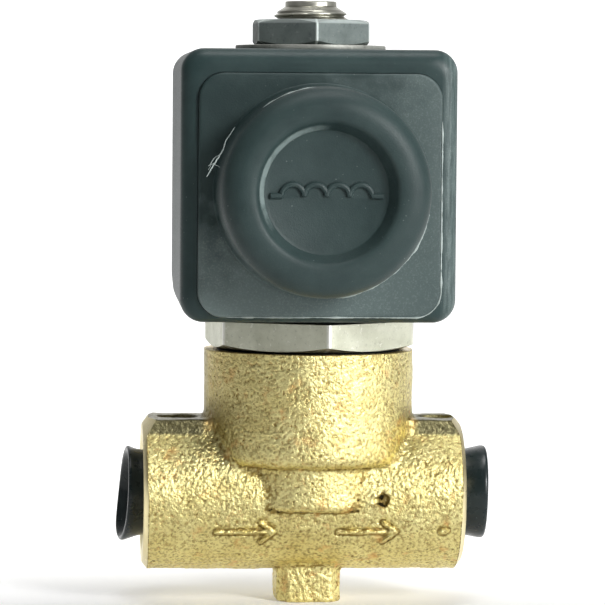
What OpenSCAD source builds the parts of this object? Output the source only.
// Two-way, normally closed solenoid valve for a G1/4 line.
// Row frame: the origin is the centre of the base boss's end face, on the guide tube's axis.
// +Z runs up the guide tube, +X runs from the inlet to the outlet, and -Y is the coil's front.

/* [Valve body] */
// Reach of the inlet arm from the tube axis
inlet_reach = 22.4; // [21.5:0.1:26]
// Reach of the outlet arm from the tube axis
outlet_reach = 20.6; // [20:0.1:26]
// Radius of the round arms
arm_r = 10.1; // [9.6:0.1:10.4]
// Height of the port axis above the base boss's end
port_z = 14.5; // [14:0.1:18]
// Radius of the upper barrel
barrel_r = 14.1; // [13.8:0.1:15]
// Height of the barrel's rim above the port axis
barrel_rise = 19.5; // [19.4:0.1:21]
// Width of the square base boss across its flats
base_w = 8.7; // [7:0.1:9]

/* [Ports] */
// Radius of the G1/4 thread's crests
port_r = 5.7225; // [5.7:0.0025:5.75]
// Length of thread in each port
port_thread = 10; // [8:0.5:10]
// Radius of the plain mouth ahead of the thread
mouth_r = 6.65; // [6.6:0.05:7]
// Depth of the plain mouth
mouth_d = 4; // [3.5:0.1:4]
// Radius of the seat's orifice
orifice_r = 2.25; // [1:0.05:2.3]

/* [Bonnet and tube] */
// Bonnet hexagon across flats
bonnet_af = 25.9; // [25:0.1:27]
// Turn of the bonnet hexagon about the tube
bonnet_turn = 36; // [0:1:60]
// Outer radius of the guide tube
tube_r = 7; // [6.8:0.05:7.2]
// Wall of the guide tube
tube_wall = 0.7; // [0.5:0.05:0.8]

/* [Plunger] */
// Travel of the plunger from the seat to the fixed core
lift = 2; // [1.5:0.1:2.4]
// Radius of the plunger
plunger_r = 6.22; // [6.2:0.01:6.24]

/* [Coil] */
// Width of the coil moulding
coil_w = 36.2; // [35.5:0.1:38]
// Height of the coil moulding
coil_h = 35.7; // [35.5:0.1:38]
// Depth of the coil moulding without its front panel and rear pad
coil_d = 34.4; // [34:0.1:37]
// Radius of the moulding's edges that run front to back
coil_corner = 3; // [1:0.1:4]
// Width and height of the front panel
panel_w = 31.8; // [30:0.1:32.4]
// Outer radius of the round boss on the front panel
ring_r = 13.5; // [12:0.1:14]
// Radius of the recess in that boss
recess_r = 8.5; // [7:0.1:9.5]
// How far the round boss stands out of the panel
ring_rise = 11.5; // [4:0.1:13]

/* [Top hardware] */
// Coil nut across flats
nut_af = 15; // [14:0.1:16]
// Thickness of the coil nut
nut_t = 3.4; // [3:0.1:4]
// Turn of the coil nut about the tube
nut_turn = 31; // [0:1:60]
// Radius of the coil washer
washer_r = 10.1; // [9:0.05:11]
// Thickness of the coil washer
washer_t = 0.7; // [0.6:0.1:1.2]

/* [Transit plugs] */
// Radius of the plug at the port's face
plug_r = 5.75; // [5.5:0.05:6]
// Radius of the plug's flared lip
plug_lip_r = 6.45; // [6.2:0.05:6.6]
// How far the plug stands out of the port
plug_out = 3.6; // [3:0.1:5]

/* [Hidden] */
$fn = 96;
tiny = 0.01;
slip = 0.05;
far = 60;

// Body levels
base_chamfer = 1.4;
rim_z = port_z + barrel_rise;
slab_half_w = 5.6;
slab_top = port_z + 10.3;
barrel_foot = port_z + 4.4;
hub_r = 11.65;
hub_foot = port_z - 1.3;
arm_drop = 0.2;
face_flat_r = 9.4;
face_cone = 38;
dimple_r = 2.75;
dimple_d = 0.5;
dimple_x = 17.6;

// Chamber, seat and drilled ways
chamber_r = 10.8;
floor_z = port_z + 6.9;
seat_top = port_z + 9.4;
seat_foot_r = 4.4;
seat_lip_r = 2.95;
drill_r = 2.75;
feed_r = 2.1;
feed_x = 7.6;
thread_bore_r = 11.2;
thread_foot = port_z + 12;
seal_seat_r = 12.55;
seal_seat_d = 1.2;

// Bonnet and tube levels
hex_gap = 0.25;
hex_foot = rim_z + hex_gap;
gasket_t = 0.4;
coil_z0 = rim_z + 4.4;
hex_top = coil_z0 - gasket_t;
neck_r = 10.95;
skirt_r = 11.1;
skirt_foot = port_z + 12.4;
skirt_bore_r = 8.2;
oring_wire = 0.7;
oring_r = 11.75;
tube_bore_r = tube_r - tube_wall;
tube_foot = skirt_foot + 1;
tube_flange_r = 8.1;
tube_flange_t = 1.2;
coil_z1 = coil_z0 + coil_h;
tube_top = coil_z1 - 2.2;

// Plunger stack
seal_r = 4;
seal_t = 2.4;
seal_proud = 0.2;
plunger_z0 = seat_top + seal_proud;
plunger_len = 25.8;
plunger_z1 = plunger_z0 + plunger_len;
core_z0 = plunger_z1 + lift;
spring_bore_r = 3;
spring_bore_d = 12;
core_recess_d = 1;
spring_r = 2.2;
spring_wire = 0.5;
spring_turns = 8;
flute_w = 1.6;
flute_d = 0.8;
shade_r0 = 4.2;
shade_r1 = 5.1;
shade_t = 1.2;

// Stud on the fixed core
stud_r = 4.93;
stud_root_r = 4.5;
stud_pitch = 0.75;
washer_top = coil_z1 + washer_t;
nut_top = washer_top + nut_t;
stud_thread_top = nut_top + 0.95;
stud_nose_r = 3.45;
stud_top = nut_top + 2.5;
nut_bore_r = 5;
washer_bore_r = 5.15;

// Coil inside
coil_mid = (coil_z0 + coil_z1) / 2;
coil_bore_r = tube_r + 0.09;
skin = 1.2;
yoke_t = 2.5;
yoke_half_x = coil_w / 2 - 1.75;
yoke_half_y = 11;
yoke_z0 = coil_z0 + skin;
yoke_z1 = coil_z1 - skin;
bobbin_z0 = yoke_z0 + yoke_t;
bobbin_z1 = yoke_z1 - yoke_t;
bobbin_flange_t = 1.2;
bobbin_r = 13.5;
bobbin_tube_r = 9.3;
sleeve_r = 8.4;
sleeve_len = 9;
winding_r = 13.1;

// Coil outside
panel_corner = 3.4;
ring_drop = 0.6;
panel_drop = 1.2;
panel_t = 2.8;
panel_proud = 0.7;
front_y = -coil_d / 2;
back_y = coil_d / 2;
panel_y = front_y - panel_proud;
ring_y = panel_y - ring_rise;
ring_round = 2.6;
recess_d = 2.2;
mark_h = 0.35;
mark_w = 0.55;
edge_round = 2.2;
edge_back = 1.2;

// Rear connector face
pad_w = 27.4;
pad_corner = 2.5;
pad_rise = 2.9;
pad_y = back_y + pad_rise;
blade_w = 6.3;
blade_t = 0.8;
blade_out = 8.6;
blade_in = 3.4;
blade_gap = 9;
blade_tip = 1.1;
earth_drop = 8.8;
insert_r = 2.5;
insert_len = 6.4;
insert_bore_r = 1.25;
insert_bore_len = 5.8;

// Plugs
plug_in = 3.7;
plug_wall = 1.1;
plug_fin_r = mouth_r - 0.03;
plug_fin_t = 0.7;

// A round bar along X between two places
module bar_x(r, x0, x1) {
    translate([x0, 0, 0]) rotate([0, 90, 0]) cylinder(r = r, h = x1 - x0);
}

// A round bar along Y between two places
module bar_y(r, y0, y1) {
    translate([0, y1, 0]) rotate([90, 0, 0]) cylinder(r = r, h = y1 - y0);
}

// A plate in X and Z with round corners, between two places on Y
module plate_y(w, h, corner, y0, y1) {
    translate([0, y1, 0]) rotate([90, 0, 0]) linear_extrude(y1 - y0) round_rect(w, h, corner);
}

// A rectangle with round corners, made of exact arcs
module round_rect(w, h, corner) {
    square([w - 2 * corner, h], center = true);
    square([w, h - 2 * corner], center = true);
    for (sx = [-1, 1], sy = [-1, 1])
        translate([sx * (w / 2 - corner), sy * (h / 2 - corner)]) circle(r = corner);
}

// A hexagonal prism whose corners are turned off at 30 degrees at the chosen ends
module hex_bar(af, z0, z1, low = true, high = true) {
    corner_r = af / sqrt(3);
    flat_r = af / 2 * 0.985;
    cut = (corner_r - flat_r) * tan(30);
    intersection() {
        translate([0, 0, z0]) cylinder(r = corner_r, h = z1 - z0, $fn = 6);
        rotate_extrude() polygon([
            [0, z0], [low ? flat_r : corner_r, z0], [corner_r + tiny, z0 + (low ? cut : 0)],
            [corner_r + tiny, z1 - (high ? cut : 0)], [high ? flat_r : corner_r, z1], [0, z1]]);
    }
}

// The forged outside of the body, before any machining
module forging() {
    translate([0, 0, port_z]) {
        translate([0, 0, -arm_drop]) bar_x(arm_r, -inlet_reach, outlet_reach);
        translate([-inlet_reach, -slab_half_w, 0])
            cube([inlet_reach + outlet_reach, 2 * slab_half_w, slab_top - port_z]);
    }
    translate([0, 0, barrel_foot]) cylinder(r = barrel_r, h = rim_z - barrel_foot);
    translate([0, 0, hub_foot]) cylinder(r = hub_r, h = barrel_foot - hub_foot + 1);
    linear_extrude(port_z) polygon([for (a = [0:90:270], s = [-1, 1])
        let (long = base_w / 2, short = base_w / 2 - base_chamfer)
        [long * cos(a) - s * short * sin(a), long * sin(a) + s * short * cos(a)]]);
}

// The envelope that facing each port on a lathe leaves: a flat face and a cone behind it
module faced_envelope() {
    wide = 16;
    back = (wide - face_flat_r) * tan(face_cone);
    translate([0, 0, port_z]) rotate([0, 90, 0]) rotate_extrude() polygon([
        [0, -inlet_reach], [face_flat_r, -inlet_reach], [wide, -inlet_reach + back],
        [wide, outlet_reach - back], [face_flat_r, outlet_reach], [0, outlet_reach]]);
    translate([0, 0, -tiny]) cylinder(r = barrel_r + 1, h = rim_z + 1);
}

// One port: plain mouth, thread and drill point, opening towards -X at x = 0
module port_cut() {
    bottom = mouth_d + port_thread;
    rotate([0, 90, 0]) rotate_extrude() polygon([
        [0, -1], [mouth_r + 1.6, -1], [mouth_r, 0.6], [mouth_r, mouth_d], [port_r, mouth_d],
        [port_r, bottom], [drill_r, bottom + 0.8], [0, bottom + 0.8]]);
}

module valve_body() {
    color("goldenrod") difference() {
        intersection() {
            forging();
            faced_envelope();
        }
        translate([-inlet_reach, 0, port_z]) port_cut();
        translate([outlet_reach, 0, port_z]) mirror([1, 0, 0]) port_cut();
        // Ways: inlet to the chamber's floor, and orifice to the outlet
        translate([0, 0, port_z]) bar_x(drill_r, -inlet_reach + 12, -feed_x + 1);
        translate([-feed_x, 0, port_z]) cylinder(r = feed_r, h = floor_z - port_z + 1);
        translate([0, 0, port_z]) bar_x(drill_r, -1, outlet_reach - 12);
        translate([0, 0, port_z]) cylinder(r = orifice_r, h = seat_top);
        // Chamber with the raised seat left standing, the bonnet's thread and the seal's seat
        rotate_extrude() polygon([
            [seat_foot_r, floor_z], [chamber_r, floor_z], [chamber_r, thread_foot],
            [thread_bore_r, thread_foot], [thread_bore_r, rim_z - seal_seat_d],
            [seal_seat_r, rim_z - seal_seat_d], [seal_seat_r, rim_z - 0.3],
            [seal_seat_r + 0.4, rim_z + 0.1], [0, rim_z + 0.1], [0, seat_top],
            [seat_lip_r, seat_top]]);
        for (x = [-dimple_x, dimple_x]) translate([x, 0, slab_top - dimple_d])
            cylinder(r = dimple_r, h = 1);
    }
}

module bonnet() {
    color("silver") difference() {
        union() {
            rotate([0, 0, bonnet_turn]) hex_bar(bonnet_af, hex_foot, hex_top, high = false);
            translate([0, 0, rim_z - seal_seat_d - 0.4])
                cylinder(r = neck_r, h = hex_foot - rim_z + seal_seat_d + 1);
            translate([0, 0, skirt_foot])
                cylinder(r = skirt_r, h = rim_z - seal_seat_d - 0.4 - skirt_foot);
        }
        translate([0, 0, skirt_foot - 1])
            cylinder(r = skirt_bore_r, h = tube_foot + tube_flange_t - skirt_foot + 1);
        translate([0, 0, skirt_foot]) cylinder(r = tube_r + tiny, h = far);
    }
}

module bonnet_oring() {
    color("black") translate([0, 0, rim_z - seal_seat_d + oring_wire + tiny])
        rotate_extrude() translate([oring_r, 0]) circle(r = oring_wire, $fn = 32);
}

module guide_tube() {
    color("lightgray") rotate_extrude() polygon([
        [tube_bore_r, tube_foot], [tube_flange_r, tube_foot],
        [tube_flange_r, tube_foot + tube_flange_t - tiny], [tube_r, tube_foot + tube_flange_t - tiny],
        [tube_r, tube_top], [tube_bore_r, tube_top]]);
}

// Profile of the stud with turned thread grooves, from the coil's top up to the coned nose
function stud_edge() = concat(
    [[stud_r, tube_top + 1.2], [stud_r, coil_z1 - 0.8]],
    [for (i = [0 : floor((stud_thread_top - coil_z1) / stud_pitch)])
        for (s = [0, 1])
            let (z = coil_z1 - 0.4 + (i + s / 2) * stud_pitch)
            if (z < stud_thread_top - 0.2) [s == 0 ? stud_root_r : stud_r, z]],
    [[stud_r, stud_thread_top - 0.1], [stud_nose_r, stud_thread_top + 0.85],
        [stud_nose_r, stud_top - 0.15], [stud_nose_r - 0.3, stud_top],
        [1.6, stud_top], [1.2, stud_top - 0.5], [0, stud_top - 0.5]]);

module fixed_core() {
    core_r = tube_bore_r - tiny;
    color("lightgray") difference() {
        rotate_extrude() polygon(concat(
            [[0, core_z0], [core_r, core_z0], [core_r, tube_top + tiny],
                [tube_r, tube_top + tiny], [tube_r, tube_top + 1.2]],
            stud_edge()));
        translate([0, 0, core_z0 - 1]) cylinder(r = spring_bore_r - 0.1, h = 1 + core_recess_d);
        translate([0, 0, core_z0 - 1]) difference() {
            cylinder(r = shade_r1, h = 1 + shade_t);
            cylinder(r = shade_r0, h = far);
        }
    }
}

module shading_ring() {
    color("peru") translate([0, 0, core_z0 + tiny]) difference() {
        cylinder(r = shade_r1 - tiny, h = shade_t - 2 * tiny);
        translate([0, 0, -1]) cylinder(r = shade_r0 + tiny, h = far);
    }
}

module plunger() {
    nose_r = 5.3;
    color("gainsboro") difference() {
        rotate_extrude() polygon([
            [0, plunger_z0], [nose_r - 0.4, plunger_z0], [nose_r, plunger_z0 + 0.4],
            [nose_r, plunger_z0 + 3.4], [plunger_r, plunger_z0 + 4.2],
            [plunger_r, plunger_z1 - 0.4], [plunger_r - 0.4, plunger_z1], [0, plunger_z1]]);
        translate([0, 0, plunger_z1 - spring_bore_d]) cylinder(r = spring_bore_r, h = far);
        translate([0, 0, plunger_z0 - 1]) cylinder(r = seal_r, h = 1 + seal_t - seal_proud);
        for (a = [0:120:240]) rotate([0, 0, a])
            translate([plunger_r - flute_d, -flute_w / 2, plunger_z0 + 3])
                cube([3, flute_w, plunger_len]);
    }
}

module plunger_seal() {
    color("dimgray") translate([0, 0, seat_top + 2 * tiny])
        cylinder(r = seal_r - tiny, h = seal_t - 3 * tiny);
}

// Points of the spring's centreline: closed end coils with open coils between them
spring_z0 = plunger_z1 - spring_bore_d + spring_wire / 2 + 0.02;
spring_z1 = core_z0 + core_recess_d - spring_wire / 2 - 0.02;
spring_steps = 18;
function ease(t) = t < 0.12 ? t * 0.25 : t > 0.88 ? 1 - (1 - t) * 0.25
    : 0.03 + (t - 0.12) * 0.94 / 0.76;
function spring_point(t) = [
    spring_r * cos(360 * spring_turns * t), spring_r * sin(360 * spring_turns * t),
    spring_z0 + (spring_z1 - spring_z0) * ease(t)];
function unit(v) = v / norm(v);

// A wire of round section swept along a list of points
module wire(points, r, sides = 8) {
    n = len(points);
    rings = [for (i = [0 : n - 1])
        let (
            along = unit(points[min(i + 1, n - 1)] - points[max(i - 1, 0)]),
            out = unit([points[i][0], points[i][1], 0]),
            side = unit(cross(along, out)),
            up = cross(side, along))
        for (k = [0 : sides - 1])
            points[i] + r * (cos(360 * k / sides) * up + sin(360 * k / sides) * side)];
    walls = [for (i = [0 : n - 2], k = [0 : sides - 1])
        let (k1 = (k + 1) % sides)
        [i * sides + k, i * sides + k1, (i + 1) * sides + k1, (i + 1) * sides + k]];
    ends = [[for (k = [sides - 1 : -1 : 0]) k], [for (k = [0 : sides - 1]) (n - 1) * sides + k]];
    polyhedron(rings, concat(walls, ends));
}

module return_spring() {
    count = spring_turns * spring_steps;
    color("silver") wire([for (i = [0 : count]) spring_point(i / count)], spring_wire / 2);
}

// The three contact blades' places: X and height of the middle, and turn about Y
blades = [[-blade_gap, coil_mid, 90], [blade_gap, coil_mid, 90], [0, coil_mid - earth_drop, 0]];

module blade(i, grow = 0) {
    y0 = back_y - blade_in;
    y1 = pad_y + blade_out;
    half = blade_w / 2 + grow;
    translate([blades[i][0], 0, blades[i][1]]) rotate([0, blades[i][2], 0])
        translate([0, 0, -blade_t / 2 - grow]) linear_extrude(blade_t + 2 * grow) polygon([
            [-half, y0 - grow], [half, y0 - grow], [half, y1 - blade_tip],
            [half - blade_tip, y1], [blade_tip - half, y1], [-half, y1 - blade_tip]]);
}

// One step of the moulding's rounded edge, between two fractions of a quarter turn
module rounding_step(y, way, r, f0, f1) {
    hull() for (f = [f0, f1]) let (inset = r * (1 - sin(90 * f)), depth = r * (1 - cos(90 * f)))
        translate([0, y + way * depth, 0]) rotate([90, 0, 0])
            linear_extrude(tiny, center = true)
                round_rect(coil_w - 2 * inset, coil_h - 2 * inset, coil_corner, $fn = 32);
}

module coil_housing() {
    color("darkslategray") difference() {
        union() {
            translate([0, 0, coil_mid]) {
                plate_y(coil_w, coil_h, coil_corner, front_y + edge_round, back_y - edge_back);
                for (i = [0 : 3]) rounding_step(front_y, 1, edge_round, i / 4, (i + 1) / 4);
                for (i = [0 : 1]) rounding_step(back_y, -1, edge_back, i / 2, (i + 1) / 2);
                plate_y(pad_w, pad_w, pad_corner, back_y - 1, pad_y);
            }
        }
        translate([0, 0, coil_z0 - 1]) cylinder(r = coil_bore_r, h = far);
        for (z = [yoke_z0, bobbin_z1]) translate([-yoke_half_x, -yoke_half_y, z])
            cube([2 * yoke_half_x, 2 * yoke_half_y, yoke_t]);
        for (x = [-yoke_half_x, yoke_half_x - yoke_t]) translate([x, -yoke_half_y, yoke_z0])
            cube([yoke_t, 2 * yoke_half_y, yoke_z1 - yoke_z0]);
        translate([0, 0, bobbin_z0 - tiny])
            cylinder(r = bobbin_r + tiny, h = bobbin_z1 - bobbin_z0 + 2 * tiny);
        translate([0, 0, coil_mid - panel_drop])
            plate_y(panel_w, panel_w, panel_corner, front_y - 1, panel_y + panel_t);
        for (i = [0 : 2]) blade(i, tiny);
        translate([0, 0, coil_mid]) bar_y(insert_r, pad_y - insert_len, pad_y + 1);
    }
}

// Raised mark on the recess floor: the circuit symbol of a coil, four humps between two leads
module coil_mark() {
    hump = 1.45;
    for (i = [0 : 3]) translate([(i - 1.5) * 2 * hump, 0]) intersection() {
        difference() {
            circle(r = hump + mark_w / 2, $fn = 48);
            circle(r = hump - mark_w / 2, $fn = 48);
        }
        translate([-2 * hump, -mark_w / 2]) square([4 * hump, 3 * hump]);
    }
    for (s = [-1, 1]) translate([s * (4 * hump + 0.55) - 0.825, -mark_w / 2]) square([1.65, mark_w]);
}

module front_panel() {
    floor_y = ring_y + recess_d;
    color("slategray") union() {
        translate([0, 0, coil_mid - panel_drop])
            plate_y(panel_w - 2 * tiny, panel_w - 2 * tiny, panel_corner, panel_y, panel_y + panel_t);
        translate([0, 0, coil_mid - ring_drop]) rotate([90, 0, 0]) rotate_extrude() polygon(concat(
            [[0, -panel_y - 1], [ring_r, -panel_y - 1], [ring_r, -ring_y - ring_round]],
            [for (a = [10 : 10 : 90])
                [ring_r - ring_round * (1 - cos(a)), -ring_y - ring_round * (1 - sin(a))]],
            [[recess_r + 0.7, -ring_y], [recess_r + 0.2, -ring_y - 0.2], [recess_r, -ring_y - 0.7],
                [recess_r - 0.2, -floor_y], [0, -floor_y]]));
        translate([0, floor_y + tiny, coil_mid - ring_drop]) rotate([90, 0, 0])
            linear_extrude(mark_h) coil_mark();
    }
}

module bobbin() {
    color("ivory") rotate_extrude() polygon([
        [sleeve_r + tiny, bobbin_z0], [bobbin_r, bobbin_z0], [bobbin_r, bobbin_z0 + bobbin_flange_t],
        [bobbin_tube_r, bobbin_z0 + bobbin_flange_t], [bobbin_tube_r, bobbin_z1 - bobbin_flange_t],
        [bobbin_r, bobbin_z1 - bobbin_flange_t], [bobbin_r, bobbin_z1], [sleeve_r + tiny, bobbin_z1]]);
}

module winding() {
    color("peru") translate([0, 0, bobbin_z0 + bobbin_flange_t + tiny]) difference() {
        cylinder(r = winding_r, h = bobbin_z1 - bobbin_z0 - 2 * bobbin_flange_t - 2 * tiny);
        translate([0, 0, -1]) cylinder(r = bobbin_tube_r + tiny, h = far);
    }
}

// U-shaped frame: the lower plate and the two side legs
module yoke_frame() {
    inside_x = yoke_half_x - yoke_t;
    color("gray") difference() {
        translate([-yoke_half_x + tiny, -yoke_half_y + tiny, yoke_z0 + tiny])
            cube([2 * yoke_half_x - 2 * tiny, 2 * yoke_half_y - 2 * tiny, yoke_z1 - yoke_z0 - 2 * tiny]);
        translate([-inside_x, -yoke_half_y - 1, bobbin_z0 - tiny])
            cube([2 * inside_x, 2 * yoke_half_y + 2, far]);
        translate([0, 0, yoke_z0 - 1]) cylinder(r = coil_bore_r, h = far);
    }
}

module flux_plate() {
    inside_x = yoke_half_x - yoke_t - 2 * tiny;
    color("gray") difference() {
        translate([-inside_x, -yoke_half_y + tiny, bobbin_z1 + tiny])
            cube([2 * inside_x, 2 * yoke_half_y - 2 * tiny, yoke_t - 2 * tiny]);
        translate([0, 0, bobbin_z1 - 1]) cylinder(r = coil_bore_r, h = far);
    }
}

module flux_sleeve(z0) {
    color("gray") translate([0, 0, z0]) difference() {
        cylinder(r = sleeve_r, h = sleeve_len);
        translate([0, 0, -1]) cylinder(r = coil_bore_r, h = far);
    }
}

module connector_insert() {
    color("gold") translate([0, 0, coil_mid]) difference() {
        bar_y(insert_r - tiny, pad_y - insert_len + tiny, pad_y);
        bar_y(insert_bore_r, pad_y - insert_bore_len, pad_y + 1);
    }
}

module coil_gasket() {
    color("black") translate([0, 0, hex_top + tiny]) difference() {
        cylinder(r = 11, h = gasket_t - slip - tiny);
        translate([0, 0, -1]) cylinder(r = tube_r + 0.3, h = far);
    }
}

module coil_washer() {
    edge = 0.12;
    color("silver") rotate_extrude() polygon([
        [washer_bore_r, coil_z1 + slip], [washer_r - edge, coil_z1 + slip],
        [washer_r, coil_z1 + edge + slip], [washer_r, washer_top - edge - tiny],
        [washer_r - edge, washer_top - tiny], [washer_bore_r, washer_top - tiny]]);
}

module coil_nut() {
    color("gray") difference() {
        rotate([0, 0, nut_turn]) hex_bar(nut_af, washer_top + tiny, nut_top);
        translate([0, 0, washer_top - 1]) cylinder(r = nut_bore_r, h = far);
        translate([0, 0, nut_top - 0.5]) cylinder(r1 = nut_bore_r, r2 = nut_bore_r + 0.6, h = 0.51);
    }
}

// A soft hollow plug, closed at its inner end, with two gripping fins; it opens towards -X at x = 0
module plug() {
    lip = -plug_out;
    color("black") rotate([0, 90, 0]) rotate_extrude() polygon([
        [0, plug_in], [plug_r - 0.5, plug_in], [plug_fin_r, plug_in - plug_fin_t],
        [plug_r, plug_in - plug_fin_t - 0.3], [plug_fin_r, 1.6], [plug_r, 1.2], [plug_r, 0],
        [plug_lip_r, lip + 0.7], [plug_lip_r - 0.25, lip + 0.1], [plug_lip_r - 0.6, lip],
        [plug_lip_r - plug_wall, lip + 0.3], [plug_r - plug_wall, 0], [plug_r - plug_wall, 2.5],
        [0, 2.7]]);
}

valve_body();
bonnet();
bonnet_oring();
guide_tube();
fixed_core();
shading_ring();
plunger();
plunger_seal();
return_spring();
coil_housing();
front_panel();
bobbin();
winding();
yoke_frame();
flux_plate();
flux_sleeve(yoke_z0 + yoke_t + tiny);  // flux_sleeve_lower
flux_sleeve(bobbin_z1 - sleeve_len - tiny);  // flux_sleeve_upper
color("silver") blade(0);  // terminal_line
color("silver") blade(1);  // terminal_neutral
color("silver") blade(2);  // terminal_earth
connector_insert();
coil_gasket();
coil_washer();
coil_nut();
translate([-inlet_reach, 0, port_z]) plug();  // inlet_plug
translate([outlet_reach, 0, port_z]) mirror([1, 0, 0]) plug();  // outlet_plug
